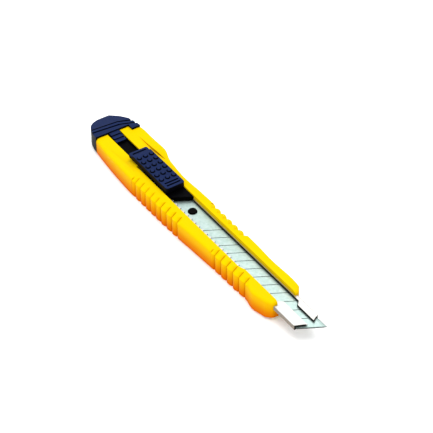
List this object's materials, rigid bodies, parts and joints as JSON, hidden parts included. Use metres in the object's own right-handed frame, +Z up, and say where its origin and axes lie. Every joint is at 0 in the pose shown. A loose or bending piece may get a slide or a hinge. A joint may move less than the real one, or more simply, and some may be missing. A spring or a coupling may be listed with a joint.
{
  "type": "snap-off utility knife",
  "caption": "Slim sliding snap-off cutter: ribbed yellow handle, steel sheath, scored blade on a sliding carrier with a dark thumb button, and a pull-off end cap.",
  "frame": {"origin": "on the flat underside, below the blade's centre line, half way between blade tip and end cap", "axes": "+X towards the blade tip, +Y towards the cutting edge and the heel of the handle, +Z up through the thumb button"},
  "size_m": [0.1429, 0.0217, 0.0114],
  "materials": {
    "handle_body": "moulded, semi-gloss, bright yellow",
    "blade_sheath": "bright folded steel strip with dark sheared edges",
    "snap_off_blade": "fine ground with a bright bevel and score lines",
    "blade_carrier": "black moulded nylon",
    "lock_spring": "spring steel",
    "slider_button": "satin dark navy with raised dots",
    "end_cap": "satin dark navy with stepped ridges"
  },
  "bodies": {
    "handle": {"handle_body": "handle_body", "blade_sheath": "blade_sheath"},
    "slider": {"blade_carrier": "blade_carrier", "snap_off_blade": "snap_off_blade", "slider_button": "slider_button"},
    "lock": {"lock_spring": "lock_spring"},
    "cap": {"end_cap": "end_cap"}
  },
  "joints": [
    {"name": "blade_slide", "type": "slide", "parent": "handle", "child": "slider", "axis": [1, 0, 0], "range_m": [-0.01, 0.045]},
    {"name": "lock_flex", "type": "hinge", "parent": "slider", "child": "lock", "pos_m": [-0.0345, -0.00145, 0.0072], "axis": [0, 0, -1], "range_deg": [0, 3.5], "stiffness_Nm_per_rad": 0.02, "springref_deg": 3.5},
    {"name": "cap_pull", "type": "slide", "parent": "handle", "child": "cap", "axis": [-1, 0, 0], "range_m": [0, 0.025]}
  ]
}
